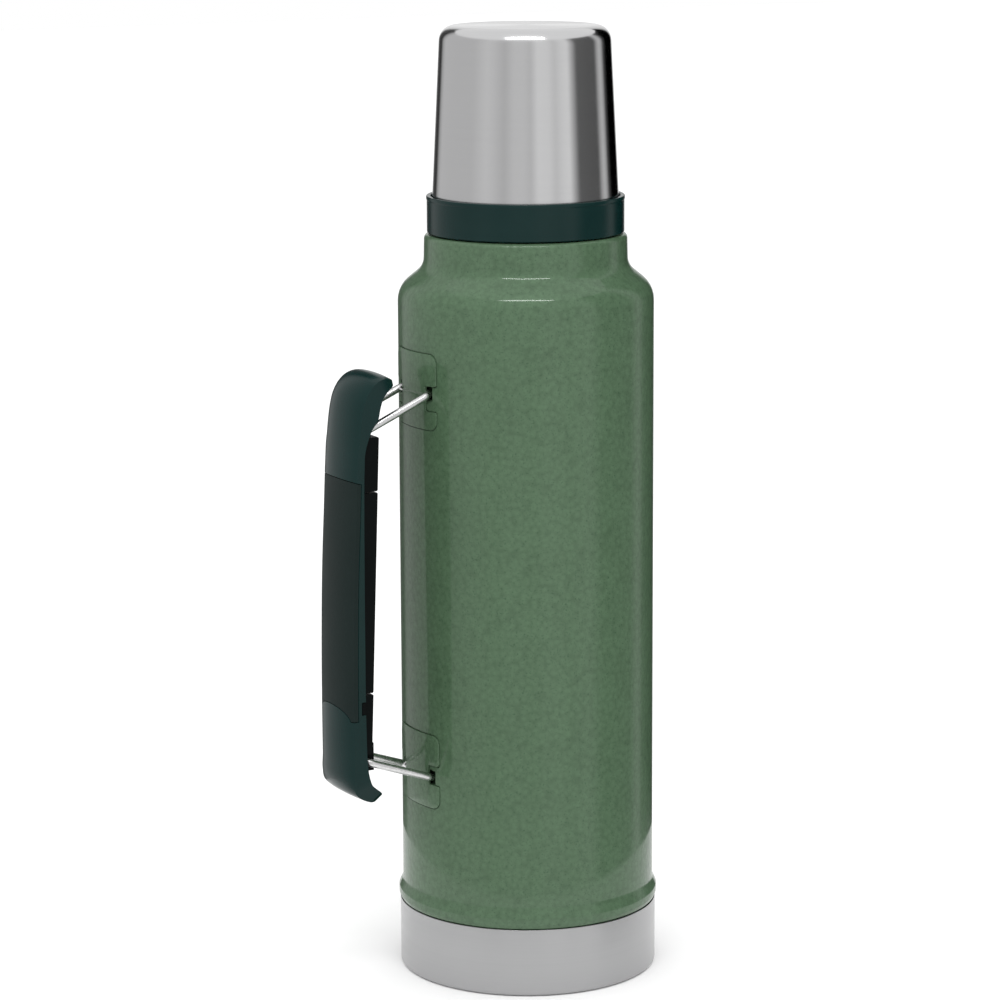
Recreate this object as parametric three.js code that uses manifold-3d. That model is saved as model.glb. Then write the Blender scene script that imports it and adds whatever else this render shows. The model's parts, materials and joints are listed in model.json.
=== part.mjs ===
// Vacuum flask with a folding wire-and-grip handle, a screw stopper and a drinking cup.
// Millimetres, +Z up. The origin is the centre of the base's flat bottom, and the handle is on the -X side.
import * as THREE from 'three';
import { mergeVertices } from 'three/addons/utils/BufferGeometryUtils.js';
import Module from 'manifold-3d';

const wasm = await Module();
wasm.setup();

// ---------- driving dimensions ----------
const BODY_RADIUS = 50.5;            // painted shell
const TOTAL_HEIGHT = 377.5;          // base to the top of the cup
const STEEL = 0.8;                   // wall of the shell, the vessel and the base
const GAP = 0.3;                     // between pieces that touch
const ROUND_SIDES = 28;              // facets of a turned piece
const HIDDEN_SIDES = 24;             // facets of the pieces inside the vacuum

const BASE_RADIUS = 51.6;
const BASE_TOP = 27.3;
const SHOULDER_Z = 267;              // where the shell starts to turn in
const COLLAR_BOTTOM = 297;
const COLLAR_TOP = 311.5;
const COLLAR_RADIUS = 38.8;

const VESSEL_RADIUS = 44.4;
const NECK_RADIUS = 31.4;            // threaded neck of the shell
const BORE_RADIUS = 26.3;            // mouth
const MOUTH_Z = 320.3;

const WIRE_RADIUS = 1.5;
const BAIL_HALF_WIDTH = 11.8;        // from the middle of a bail to each leg
const PIVOT_U = 48.2;                // handle-side distance of the body pivots from the axis
const UPPER_PIVOT = { u: PIVOT_U, z: 238 };
const LOWER_PIVOT = { u: PIVOT_U, z: 84.3 };
const UPPER_GRIP_BAR = { u: 77.0, z: 225.3 };
const LOWER_GRIP_BAR = { u: 77.9, z: 94.7 };
const UPPER_PLATE_Z = 238.5;         // middle of each bracket plate
const LOWER_PLATE_Z = 86.9;
const CHANNEL_HALF_WIDTH = 13.6;     // the hollow on the grip's finger side

// ---------- materials ----------
function finish(color, roughness, metalness) {
  return new THREE.MeshStandardMaterial({ color, roughness, metalness });
}

const paint = finish(0x5c7a62, 0.42, 0.25);
const brushedSteel = finish(0xb9bbbd, 0.38, 1.0);
const innerSteel = finish(0xc4c6c8, 0.3, 1.0);
const wireSteel = finish(0xc9cacc, 0.22, 1.0);
const darkPlastic = finish(0x1c302e, 0.38, 0.0);
const softPlastic = finish(0x26322f, 0.6, 0.0);
const blackPlastic = finish(0x141616, 0.5, 0.0);
const silicone = finish(0x8d9391, 0.7, 0.0);
const foam = finish(0xe6e0cc, 0.95, 0.0);
const foil = finish(0xd0d2d4, 0.25, 1.0);

// ---------- solids ----------
function weld(geometry) {
  geometry.deleteAttribute('normal');
  geometry.deleteAttribute('uv');
  const merged = mergeVertices(geometry, 1e-4);
  const corners = Array.from(merged.index.array);
  const kept = [];
  for (let i = 0; i < corners.length; i += 3) {
    const [a, b, c] = corners.slice(i, i + 3);
    if (a !== b && b !== c && c !== a) kept.push(a, b, c);
  }
  merged.setIndex(kept);
  return merged;
}

function solidOf(geometry) {
  const welded = weld(geometry);
  const vertProperties = new Float32Array(welded.attributes.position.array);
  const triVerts = new Uint32Array(welded.index.array);
  return new wasm.Manifold(new wasm.Mesh({ numProp: 3, vertProperties, triVerts }));
}

function geometryOf(solid) {
  const mesh = solid.getMesh();
  const geometry = new THREE.BufferGeometry();
  const stride = mesh.numProp;
  const positions = new Float32Array((mesh.vertProperties.length / stride) * 3);
  for (let i = 0; i < positions.length / 3; i += 1) {
    positions.set(mesh.vertProperties.subarray(i * stride, i * stride + 3), i * 3);
  }
  geometry.setAttribute('position', new THREE.BufferAttribute(positions, 3));
  geometry.setIndex(Array.from(mesh.triVerts));
  return geometry;
}

// Turns an outline of [radius, z] points about Z. The outline closes on itself.
function turned(points, sides = ROUND_SIDES) {
  const outline = points.map(([radius, z]) => new THREE.Vector2(radius, z));
  if (THREE.ShapeUtils.isClockWise(outline)) outline.reverse();
  outline.push(outline[0].clone());
  return weld(new THREE.LatheGeometry(outline, sides).rotateX(Math.PI / 2));
}

// A round rod along a curve.
function rodAlong(curve, radius, steps, sides = 8) {
  const section = new THREE.Shape();
  section.absarc(0, 0, radius, 0, 2 * Math.PI);
  const options = { steps, curveSegments: sides / 2, extrudePath: curve, bevelEnabled: false };
  return new THREE.ExtrudeGeometry(section, options);
}

// A thread's rounded ridge: a helix of `turns` about Z.
function threadRidge({ radius, ridge, from, to, turns }) {
  const points = [];
  const perTurn = 24;
  for (let i = 0; i <= turns * perTurn; i += 1) {
    const share = i / (turns * perTurn);
    const angle = 2 * Math.PI * turns * share;
    const height = from + (to - from) * share;
    points.push(new THREE.Vector3(radius * Math.cos(angle), radius * Math.sin(angle), height));
  }
  return rodAlong(new THREE.CatmullRomCurve3(points), ridge, turns * perTurn, 4);
}

// A prism across the handle: an outline in the handle's plane, [u, z], where u is the distance
// from the flask's axis towards the handle, reaching `halfWidth` to each side.
function acrossHandle(points, halfWidth) {
  const shape = new THREE.Shape(points.map(([u, z]) => new THREE.Vector2(-u, z)));
  const geometry = new THREE.ExtrudeGeometry(shape, { depth: 2 * halfWidth, bevelEnabled: false });
  return geometry.rotateX(Math.PI / 2).translate(0, halfWidth, 0);
}

function block(lowU, highU, halfWidth, lowZ, highZ) {
  const box = new THREE.BoxGeometry(highU - lowU, 2 * halfWidth, highZ - lowZ);
  return box.translate(-(lowU + highU) / 2, 0, (lowZ + highZ) / 2);
}

// Points of a curved corner, as [x, y] pairs.
function corner(from, control, to, steps = 3) {
  const curve = new THREE.QuadraticBezierCurve(
    new THREE.Vector2(...from),
    new THREE.Vector2(...control),
    new THREE.Vector2(...to),
  );
  return curve.getPoints(steps).map((point) => [point.x, point.y]);
}

// ---------- the body ----------
// The shell's outer line from the skirt inside the base to the top of the threaded neck,
// moved inwards by `inset`.
function shellLine(inset) {
  const r = (radius) => radius - inset;
  const neckTop = MOUTH_Z - 1.7;
  return [
    [r(50.4), 10],
    [r(50.4), BASE_TOP + GAP],
    [r(51.5), BASE_TOP + GAP + 0.1],
    ...corner([r(52.0), 29.3], [r(52.2), 31], [r(51.9), 32.4], 2),
    [r(BODY_RADIUS), 35.4 - inset * 0.3],
    ...corner([r(BODY_RADIUS), SHOULDER_Z], [r(50.4), 275.6 - inset], [r(47), 278.4 - inset]),
    ...corner([r(43), 281.5 - inset], [r(40.2), 283.7 - inset], [r(40.2), 287.5 - inset]),
    ...corner([r(39.9), 294.4 - inset], [r(39.8), 296.6 - inset], [r(37.8), 296.6 - inset], 2),
    ...corner([r(34.6), 296.6 - inset], [r(NECK_RADIUS), 296.8 - inset], [r(NECK_RADIUS), 300], 2),
    [r(NECK_RADIUS), neckTop],
  ];
}

// The pocket pressed into the shell round a bail's bar, wide enough for its legs to swing.
function pocket(pivot, down, up, grow) {
  const floorU = pivot.u - WIRE_RADIUS - 0.5 - grow;
  const small = WIRE_RADIUS + 0.6 + grow;
  const points = [
    [floorU, pivot.z - small],
    [pivot.u, pivot.z - small - 0.6],
    [BODY_RADIUS + 1, pivot.z - down - grow],
    [BODY_RADIUS + 1, pivot.z + up + grow],
    [pivot.u, pivot.z + small + 0.6],
    [floorU, pivot.z + small],
  ];
  return solidOf(acrossHandle(points, BAIL_HALF_WIDTH + WIRE_RADIUS + 0.7 + grow));
}

// How far the legs swing below and above the pivot, at the shell's surface.
const UPPER_SWING = { down: 6.8, up: 4.2 };
const LOWER_SWING = { down: 2.4, up: 5.0 };

function outerShell() {
  const outside = shellLine(0);
  const inside = shellLine(STEEL);
  let metal = solidOf(turned([[0, outside[0][1]], ...outside, [0, outside.at(-1)[1]]]));
  const cavityTop = inside.at(-1)[1] + 1;
  const cavityLine = [[0, 9], [inside[0][0], 9], ...inside.slice(1, -1), [inside.at(-1)[0], cavityTop]];
  let cavity = solidOf(turned([...cavityLine, [0, cavityTop]]));
  for (const [pivot, swing] of [[UPPER_PIVOT, UPPER_SWING], [LOWER_PIVOT, LOWER_SWING]]) {
    metal = metal.subtract(pocket(pivot, swing.down, swing.up, 0));
    cavity = cavity.subtract(pocket(pivot, swing.down, swing.up, STEEL));
  }
  const thread = solidOf(threadRidge({
    radius: NECK_RADIUS + 0.15, ridge: 1.1, from: 303.5, to: 315.5, turns: 1.5,
  }));
  return geometryOf(metal.add(thread).subtract(cavity));
}

function baseCup() {
  const inner = BASE_RADIUS - STEEL;
  return turned([
    [0, 0], [41, 0], [41.6, 0.5], [44.4, 0.5], [45, 0],
    ...corner([BASE_RADIUS - 1.6, 0], [BASE_RADIUS, 0], [BASE_RADIUS, 1.6]),
    [BASE_RADIUS, BASE_TOP],
    [inner, BASE_TOP],
    ...corner([inner, 2.2], [inner, 1.3], [inner - 1.2, 1.3], 2),
    [0, 1.3],
  ]);
}

function shellBottom() {
  const rim = 50.4 - STEEL - 2 * GAP;
  const seat = 4.2;
  return turned([
    [seat, 13.2], [20, 12.6], [38, 10], [rim, 10], [rim, 15.5],
    [rim - STEEL, 15.5], [rim - STEEL, 11], [38.2, 11], [20, 13.6], [seat, 14.2],
  ], HIDDEN_SIDES);
}

function vacuumSeal() {
  return turned([[0, 11.4], [6, 11.4], [6.6, 12.1], [6.6, 12.7], [3.8, 12.9], [3.8, 14.6], [0, 14.6]], 24);
}

// A getter capsule standing on the end plate.
function getter() {
  const ring = turned([[2.2, 15], [5.2, 15], [5.2, 17.2], [2.2, 17.2]], 16);
  return ring.translate(18, 0, 0);
}

// The vessel's outer line, moved inwards by `inset`.
function vesselLine(inset) {
  const r = (radius) => radius - inset;
  return [
    ...corner([30, 23 + inset], [r(VESSEL_RADIUS), 24 + inset], [r(VESSEL_RADIUS), 40]),
    ...corner([r(VESSEL_RADIUS), 256], [r(VESSEL_RADIUS), 268 - inset], [r(39), 274 - inset]),
    ...corner([r(33), 281 - inset], [r(BORE_RADIUS + 0.7), 287 - inset], [r(BORE_RADIUS + 0.7), 294]),
  ];
}

function innerVessel() {
  const outside = vesselLine(0);
  const inside = vesselLine(0.7);
  const flangeBottom = MOUTH_Z - 1.4;
  const wall = solidOf(turned([
    [0, 21],
    ...outside,
    [BORE_RADIUS + 0.7, flangeBottom],
    [NECK_RADIUS, flangeBottom],
    [NECK_RADIUS + 0.2, MOUTH_Z - 0.7],
    [NECK_RADIUS - 0.5, MOUTH_Z],
    [BORE_RADIUS + 0.5, MOUTH_Z],
    [BORE_RADIUS, MOUTH_Z - 0.6],
    ...inside.reverse(),
    [0, 21.7],
  ], HIDDEN_SIDES));
  const thread = solidOf(threadRidge({
    radius: BORE_RADIUS + 0.05, ridge: 0.75, from: 300, to: 312, turns: 1.5,
  }));
  return geometryOf(wall.add(thread));
}

function heatShield() {
  const inner = VESSEL_RADIUS + GAP;
  const outer = inner + 0.35;
  return turned([
    [inner, 44], [outer, 44], [outer, 256],
    ...corner([outer, 262], [outer - 0.6, 269], [40, 274.6]),
    [39.4, 274.6],
    ...corner([41, 272], [inner, 268], [inner, 256]),
  ], HIDDEN_SIDES);
}

// ---------- the cup ----------
const CUP_RIM_Z = 304.2;
const CUP_RIM_RADIUS = 36.95;
const CUP_CORNER_Z = 372.6;
const CUP_CORNER_RADIUS = 33.6;

function cupOuter() {
  const wall = 0.7;
  const top = TOTAL_HEIGHT;
  return turned([
    [0, top],
    ...corner([29.6, top], [CUP_CORNER_RADIUS - 0.1, top - 0.2], [CUP_CORNER_RADIUS, CUP_CORNER_Z]),
    [CUP_RIM_RADIUS, CUP_RIM_Z],
    [CUP_RIM_RADIUS - wall, CUP_RIM_Z],
    ...corner(
      [CUP_CORNER_RADIUS - wall, CUP_CORNER_Z],
      [CUP_CORNER_RADIUS - wall, top - wall],
      [29.4, top - wall],
    ),
    [0, top - wall],
  ]);
}

const LINER_BOTTOM = 317.2;

function cupInner() {
  const wall = 0.6;
  const top = TOTAL_HEIGHT - 2.6;
  return turned([
    [0, top],
    ...corner([25, top], [31.9, top], [31.9, 367]),
    [34.6, LINER_BOTTOM],
    [34.6 - wall, LINER_BOTTOM],
    ...corner([31.9 - wall, 367], [31.9 - wall, top - wall], [25, top - wall]),
    [0, top - wall],
  ]);
}

function cupCollar() {
  const threadWall = 34.2;
  const sleeveOuter = CUP_RIM_RADIUS - 1.7;
  const grooveOuter = CUP_RIM_RADIUS + GAP;
  const ring = solidOf(turned([
    [36.5, COLLAR_BOTTOM], [COLLAR_RADIUS - 0.5, COLLAR_BOTTOM],
    [COLLAR_RADIUS, COLLAR_BOTTOM + 0.6],
    [COLLAR_RADIUS, COLLAR_TOP - 1.6],
    [COLLAR_RADIUS + 0.2, COLLAR_TOP - 1.2],
    [COLLAR_RADIUS + 0.2, COLLAR_TOP - 0.4],
    [COLLAR_RADIUS - 0.1, COLLAR_TOP],
    [grooveOuter, COLLAR_TOP],
    [grooveOuter, CUP_RIM_Z - GAP],
    [sleeveOuter, CUP_RIM_Z - GAP],
    [sleeveOuter, LINER_BOTTOM - GAP],
    [threadWall, LINER_BOTTOM - GAP],
    [threadWall, 300.2],
    [36.5, 300.2],
  ]));
  const thread = solidOf(threadRidge({
    radius: threadWall, ridge: 1.05, from: 302.5, to: 315, turns: 1.5,
  }));
  return geometryOf(ring.add(thread));
}

function cupSeal() {
  return turned([[33.4, 297.2], [36.1, 297.2], [36.1, 299.8], [33.4, 299.8]]);
}

// ---------- the stopper ----------
const PLUG_RADIUS = 24;
const PLUG_BOTTOM = 290.3;
const FLANGE_BOTTOM = MOUTH_Z + 2;
const FLANGE_TOP = FLANGE_BOTTOM + 2.7;
const RING_Z = 293.4;

function stopperBody() {
  const inner = PLUG_RADIUS - 2.4;
  let plug = solidOf(turned([
    [0, PLUG_BOTTOM], [22.6, PLUG_BOTTOM], [PLUG_RADIUS, PLUG_BOTTOM + 1],
    [PLUG_RADIUS, RING_Z - 1.6], [22.1, RING_Z - 1.4], [22.1, RING_Z + 1.4], [PLUG_RADIUS, RING_Z + 1.6],
    [PLUG_RADIUS, FLANGE_BOTTOM],
    [30.4, FLANGE_BOTTOM], [31, FLANGE_BOTTOM + 0.6], [31, FLANGE_TOP - 0.8], [30.2, FLANGE_TOP],
    [inner, FLANGE_TOP],
    [inner, PLUG_BOTTOM + 6.4], [0, PLUG_BOTTOM + 6.4],
  ]));
  plug = plug.add(solidOf(threadRidge({
    radius: PLUG_RADIUS - 0.05, ridge: 0.95, from: 299, to: 311, turns: 1.5,
  })));
  const slotCount = 3;
  for (let i = 0; i < slotCount; i += 1) {
    const slot = new THREE.BoxGeometry(3, 7, 18).translate(PLUG_RADIUS + 0.6, 0, 305);
    plug = plug.subtract(solidOf(slot.rotateZ((2 * Math.PI * i) / slotCount)));
  }
  return geometryOf(plug);
}

function stopperGasket() {
  return turned([
    [PLUG_RADIUS + GAP, MOUTH_Z + 0.3], [30, MOUTH_Z + 0.3],
    [30, FLANGE_BOTTOM - GAP], [PLUG_RADIUS + GAP, FLANGE_BOTTOM - GAP],
  ]);
}

function stopperRing() {
  const points = [];
  const sides = 6;
  for (let i = 0; i < sides; i += 1) {
    const angle = (2 * Math.PI * i) / sides;
    points.push([23.65 + 1.2 * Math.cos(angle), RING_Z + 1.1 * Math.sin(angle)]);
  }
  return turned(points);
}

// The knob: a low round cap with finger flutes round its rim.
function stopperCap() {
  const flutes = 12;
  const perFlute = 4;
  const points = [];
  for (let i = 0; i < flutes * perFlute; i += 1) {
    const angle = (2 * Math.PI * i) / (flutes * perFlute);
    const radius = 20.4 + 0.8 * Math.cos(flutes * angle);
    points.push(new THREE.Vector2(radius * Math.cos(angle), radius * Math.sin(angle)));
  }
  const bevel = { bevelThickness: 1.2, bevelSize: 1.2, bevelOffset: -0.2, bevelSegments: 2 };
  const knob = new THREE.ExtrudeGeometry(new THREE.Shape(points), { depth: 6, ...bevel });
  return weld(knob.translate(0, 0, FLANGE_TOP + GAP + bevel.bevelThickness));
}

function stopperFoam() {
  const radius = PLUG_RADIUS - 2.4 - GAP;
  return turned([[0, 297], [radius, 297], [radius, FLANGE_TOP - 1], [0, FLANGE_TOP - 1]], 24);
}

// ---------- the handle ----------
// A bail is one bent wire: two legs, a bar in the grip, and a bar at the body whose ends butt together.
function bail(pivot, bar) {
  const bend = 3;
  const along = new THREE.Vector3(-(bar.u - pivot.u), 0, bar.z - pivot.z);
  const length = along.length();
  along.normalize();
  const start = new THREE.Vector3(-pivot.u, 0, pivot.z);
  const point = (reach, side) => start.clone().addScaledVector(along, reach).setY(side);
  const wide = BAIL_HALF_WIDTH;
  const path = new THREE.CurvePath();
  const straight = (a, b) => path.add(new THREE.LineCurve3(a, b));
  const bent = (a, b, c) => path.add(new THREE.QuadraticBezierCurve3(a, b, c));
  const buttGap = 0.4;
  straight(point(0, buttGap), point(0, wide - bend));
  bent(point(0, wide - bend), point(0, wide), point(bend, wide));
  straight(point(bend, wide), point(length - bend, wide));
  bent(point(length - bend, wide), point(length, wide), point(length, wide - bend));
  straight(point(length, wide - bend), point(length, bend - wide));
  bent(point(length, bend - wide), point(length, -wide), point(length - bend, -wide));
  straight(point(length - bend, -wide), point(bend, -wide));
  bent(point(bend, -wide), point(0, -wide), point(0, bend - wide));
  straight(point(0, bend - wide), point(0, -buttGap));
  return weld(rodAlong(path, WIRE_RADIUS, 60));
}

// A curved plate over a bail's bar, notched at both sides for the legs, with its middle at a height.
function bracket(pivot, swing, middle) {
  const halfWidth = 15.8;
  const halfHeight = 14.8;
  const inner = BODY_RADIUS + GAP;
  const tube = (outer, low, high) => solidOf(turned([
    [inner, low], [outer, low], [outer, high], [inner, high],
  ], 96));
  const thick = tube(inner + 1.5, pivot.z, middle + halfHeight);
  const thin = tube(inner + 1.1, middle - halfHeight, pivot.z + 0.01);
  const outline = new THREE.Shape();
  const round = 4;
  outline.moveTo(-halfWidth + round, -halfHeight);
  outline.lineTo(halfWidth - round, -halfHeight);
  outline.quadraticCurveTo(halfWidth, -halfHeight, halfWidth, -halfHeight + round);
  outline.lineTo(halfWidth, halfHeight - round);
  outline.quadraticCurveTo(halfWidth, halfHeight, halfWidth - round, halfHeight);
  outline.lineTo(-halfWidth + round, halfHeight);
  outline.quadraticCurveTo(-halfWidth, halfHeight, -halfWidth, halfHeight - round);
  outline.lineTo(-halfWidth, -halfHeight + round);
  outline.quadraticCurveTo(-halfWidth, -halfHeight, -halfWidth + round, -halfHeight);
  const punch = new THREE.ExtrudeGeometry(outline, { depth: 20, curveSegments: 4, bevelEnabled: false });
  punch.rotateX(Math.PI / 2).rotateZ(-Math.PI / 2).translate(-40, 0, middle);
  let plate = thick.add(thin).intersect(solidOf(punch));
  const notchInner = BAIL_HALF_WIDTH - WIRE_RADIUS - 0.5;
  for (const side of [-1, 1]) {
    const notch = new THREE.BoxGeometry(20, 10, swing.down + swing.up + 0.6);
    notch.translate(-50, side * (notchInner + 5), pivot.z + (swing.up - swing.down) / 2);
    plate = plate.subtract(solidOf(notch));
  }
  return geometryOf(plate);
}

// Stations along the grip, from its lower tip to its upper tip: the crown point, the point on the
// finger side, the half width, and how far the section falls from the crown to its creases.
const GRIP_STATIONS = [
  { crown: [74.9, 78.2], inner: [71.2, 80.4], half: 11.8, fall: 0.3 },
  { crown: [81.2, 80.0], inner: [74.2, 83.6], half: 13.6, fall: 0.6 },
  { crown: [85.0, 82.6], inner: [76.4, 85.6], half: 14.3, fall: 1.3 },
  { crown: [86.8, 86.8], inner: [77.6, 88.8], half: 14.5, fall: 2.4 },
  { crown: [87.4, 94], inner: [78.4, 94], half: 14.5, fall: 3.3 },
  { crown: [87.5, 110], inner: [78.9, 110], half: 14.5, fall: 3.4 },
  { crown: [87.3, 140], inner: [79.0, 140], half: 14.5, fall: 3.4 },
  { crown: [86.5, 172], inner: [78.9, 172], half: 14.5, fall: 3.4 },
  { crown: [85.3, 196], inner: [78.7, 196], half: 14.5, fall: 3.4 },
  { crown: [84.3, 212], inner: [78.4, 211], half: 14.5, fall: 3.4 },
  { crown: [83.7, 221], inner: [77.8, 218.5], half: 14.5, fall: 3.4 },
  { crown: [83.0, 228.5], inner: [75.2, 225.6], half: 14.5, fall: 3.4 },
  { crown: [82.0, 234.5], inner: [72.3, 230], half: 14.5, fall: 3.4 },
  { crown: [80.3, 239.6], inner: [71.3, 234], half: 14.4, fall: 3.2 },
  { crown: [77.4, 243.6], inner: [70.1, 237.6], half: 14.3, fall: 2.8 },
  { crown: [73.4, 246.3], inner: [68.4, 239.8], half: 14.0, fall: 2.2 },
  { crown: [69.2, 247.0], inner: [66.6, 241.1], half: 13.3, fall: 1.6 },
  { crown: [66.2, 246.0], inner: [65.0, 242.0], half: 12.2, fall: 0.9 },
  { crown: [64.4, 244.4], inner: [64.0, 242.8], half: 10.6, fall: 0.3 },
];

// One D-shaped section of the grip as points [depth below the crown, side], with the crown
// lowered by `lower` and the finger side moved out by `extend`. A `fall` replaces the station's own.
function gripSection(station, { lower = 0, fall = station.fall, extend = 0 }) {
  const depth = Math.hypot(
    station.crown[0] - station.inner[0],
    station.crown[1] - station.inner[1],
  );
  const points = [];
  const arcSteps = 10;
  const edge = 0.9;
  const arcDepth = (side) => 1 - Math.sqrt(1 - (edge * side) ** 2);
  for (let i = 0; i <= arcSteps; i += 1) {
    const side = -1 + (2 * i) / arcSteps;
    const drop = Math.min(fall, depth * 0.5) * (arcDepth(side) / arcDepth(1));
    points.push([lower + drop, station.half * side]);
  }
  const taper = 0.2;
  points.push([depth + extend, station.half - taper], [depth + extend, taper - station.half]);
  return points;
}

// The grip's closed body through its stations, with the same `change` made to every section.
function loftedGrip(stations, change) {
  const positions = [];
  const triangles = [];
  const count = gripSection(stations[0], change).length;
  for (const station of stations) {
    const [crownU, crownZ] = station.crown;
    const [innerU, innerZ] = station.inner;
    const depth = Math.hypot(innerU - crownU, innerZ - crownZ);
    const inwards = [(innerU - crownU) / depth, (innerZ - crownZ) / depth];
    for (const [below, side] of gripSection(station, change)) {
      positions.push(-(crownU + inwards[0] * below), side, crownZ + inwards[1] * below);
    }
  }
  const last = (stations.length - 1) * count;
  for (let i = 0; i < stations.length - 1; i += 1) {
    for (let j = 0; j < count; j += 1) {
      const a = i * count + j;
      const b = i * count + ((j + 1) % count);
      triangles.push(a, b + count, b, a, a + count, b + count);
    }
  }
  for (let j = 1; j < count - 1; j += 1) {
    triangles.push(0, j, j + 1, last, last + j + 1, last + j);
  }
  return new wasm.Manifold(new wasm.Mesh({
    numProp: 3,
    vertProperties: new Float32Array(positions),
    triVerts: new Uint32Array(triangles),
  }));
}

const PAD_THICKNESS = 1.8;
const SIDE_NOTCH_LOW = 114.2;        // the notch in each side of the grip that the lower clip's lug fills
const SIDE_NOTCH_HEIGHT = 5.2;

// The slab of the grip that the soft pad takes. Its upper seam slants, and its lower seam is an arch.
function padSlab(grow) {
  const slab = solidOf(acrossHandle([
    [70, 112 - grow], [95, 112 - grow], [95, 209.4 + grow], [70, 202.6 + grow],
  ], 20));
  const arch = new THREE.Shape();
  const foot = 106;
  const springing = 111;
  const pull = springing + (6.2 - grow) * 4 / 3;
  const span = 13.2 - grow;
  arch.moveTo(span, foot);
  arch.lineTo(span, springing);
  arch.bezierCurveTo(span, pull, -span, pull, -span, springing);
  arch.lineTo(-span, foot);
  const tunnel = new THREE.ExtrudeGeometry(arch, { depth: 30, curveSegments: 10, bevelEnabled: false });
  tunnel.rotateX(Math.PI / 2).rotateZ(-Math.PI / 2).translate(-68, 0, 0);
  return slab.subtract(solidOf(tunnel));
}

// The hollow on the finger side. Its roof falls more to the sides under the pad than at the bails' bars.
function gripChannel() {
  const stations = GRIP_STATIONS.slice(2, 15);
  const underPad = loftedGrip(stations, { lower: 3.8, fall: 2.2, extend: 12 });
  const atBars = loftedGrip(stations, { lower: 3.8, fall: 1, extend: 12 });
  const padZone = solidOf(block(50, 90, 20, 108, 208));
  const reach = solidOf(block(50, 90, CHANNEL_HALF_WIDTH, 88.4, 237));
  return underPad.add(atBars.subtract(padZone)).intersect(reach);
}

function gripShell() {
  const outside = loftedGrip(GRIP_STATIONS, {});
  const underPad = loftedGrip(GRIP_STATIONS, { lower: PAD_THICKNESS + GAP });
  const sideNotch = solidOf(block(70, 80.8, 20, SIDE_NOTCH_LOW, SIDE_NOTCH_LOW + SIDE_NOTCH_HEIGHT));
  let shell = outside.subtract(padSlab(GAP).subtract(underPad));
  shell = shell.subtract(gripChannel()).subtract(sideNotch);
  const behindBar = LOWER_GRIP_BAR.u + WIRE_RADIUS + 1.4;
  for (const side of [-1, 1]) {
    const rib = block(behindBar, 84.5, 1, 87, 97.4).translate(0, 5 * side, 0);
    shell = shell.add(solidOf(rib));
  }
  return geometryOf(shell);
}

function gripPad() {
  const outside = loftedGrip(GRIP_STATIONS, {});
  const under = loftedGrip(GRIP_STATIONS, { lower: PAD_THICKNESS });
  return geometryOf(outside.subtract(under).intersect(padSlab(0)));
}

const COVER_HALF_WIDTH = CHANNEL_HALF_WIDTH - 0.4;

// The inner cover narrows upwards: its finger side and its deep side at a height.
function coverSides(z) {
  const share = (z - 97) / (223 - 97);
  return { finger: 76.0 - 4.4 * share, deep: 81.4 - 3.3 * share };
}

// A piece of the inner cover between two heights: a tray with its back towards the fingers.
function coverPiece(lowZ, highZ) {
  const half = COVER_HALF_WIDTH;
  const wall = 2;
  const chamfer = 0.4;
  const low = coverSides(lowZ);
  const high = coverSides(highZ);
  const outline = [
    [low.finger + chamfer, lowZ], [low.deep, lowZ], [high.deep, highZ],
    [high.finger + chamfer, highZ], [high.finger, highZ - chamfer], [low.finger, lowZ + chamfer],
  ];
  const inside = [
    [low.finger + wall, lowZ + wall], [low.deep + 1, lowZ + wall],
    [high.deep + 1, highZ - wall], [high.finger + wall, highZ - wall],
  ];
  return solidOf(acrossHandle(outline, half)).subtract(solidOf(acrossHandle(inside, half - wall)));
}

function gripInnerCover() {
  return geometryOf(coverPiece(122.5, 201.6));
}

// A clip closes the channel over a bail's bar, with a tongue between the legs that holds the bar
// in with `play` to spare.
function wireClip({ lowZ, highZ, bar, tongueEnd, play }) {
  const tongueHalf = 8;
  const tongueThick = 2.4;
  const rootLength = 3;
  const rootDepth = 1;
  const face = bar.u - WIRE_RADIUS - play;
  const isAbove = tongueEnd > highZ;
  const [from, to] = isAbove ? [highZ - rootLength, tongueEnd] : [tongueEnd, lowZ + rootLength];
  const [rootFrom, rootTo] = isAbove ? [from, highZ] : [lowZ, to];
  const tongue = solidOf(block(face - tongueThick, face, tongueHalf, from, to));
  const root = solidOf(block(face - tongueThick, face + rootDepth, tongueHalf, rootFrom, rootTo));
  return geometryOf(coverPiece(lowZ, highZ).add(tongue).add(root));
}

// The lower clip has a lug on each side that snaps into the grip's notch.
function lowerClip() {
  const clip = solidOf(wireClip({
    lowZ: 98, highZ: 121.9, bar: LOWER_GRIP_BAR, tongueEnd: 90, play: 1.2,
  }));
  const low = SIDE_NOTCH_LOW + GAP;
  const high = SIDE_NOTCH_LOW + SIDE_NOTCH_HEIGHT - GAP;
  const reach = 1;
  const lugs = [-1, 1].map((side) => {
    const lug = block(79.1, 80.5, reach, low, high);
    return solidOf(lug.translate(0, side * COVER_HALF_WIDTH, 0));
  });
  return geometryOf(clip.add(lugs[0]).add(lugs[1]));
}

// ---------- the assembly ----------
function mesh(name, geometry, material) {
  const piece = new THREE.Mesh(geometry, material);
  piece.name = name;
  return piece;
}

const body = new THREE.Group();
body.add(
  mesh('base_cup', baseCup(), brushedSteel),
  mesh('outer_shell', outerShell(), paint),
  mesh('shell_bottom', shellBottom(), innerSteel),
  mesh('vacuum_seal', vacuumSeal(), innerSteel),
  mesh('getter', getter(), innerSteel),
  mesh('inner_vessel', innerVessel(), innerSteel),
  mesh('heat_shield', heatShield(), foil),
  mesh('upper_bracket', bracket(UPPER_PIVOT, UPPER_SWING, UPPER_PLATE_Z), paint),
  mesh('lower_bracket', bracket(LOWER_PIVOT, LOWER_SWING, LOWER_PLATE_Z), paint),
);

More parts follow.
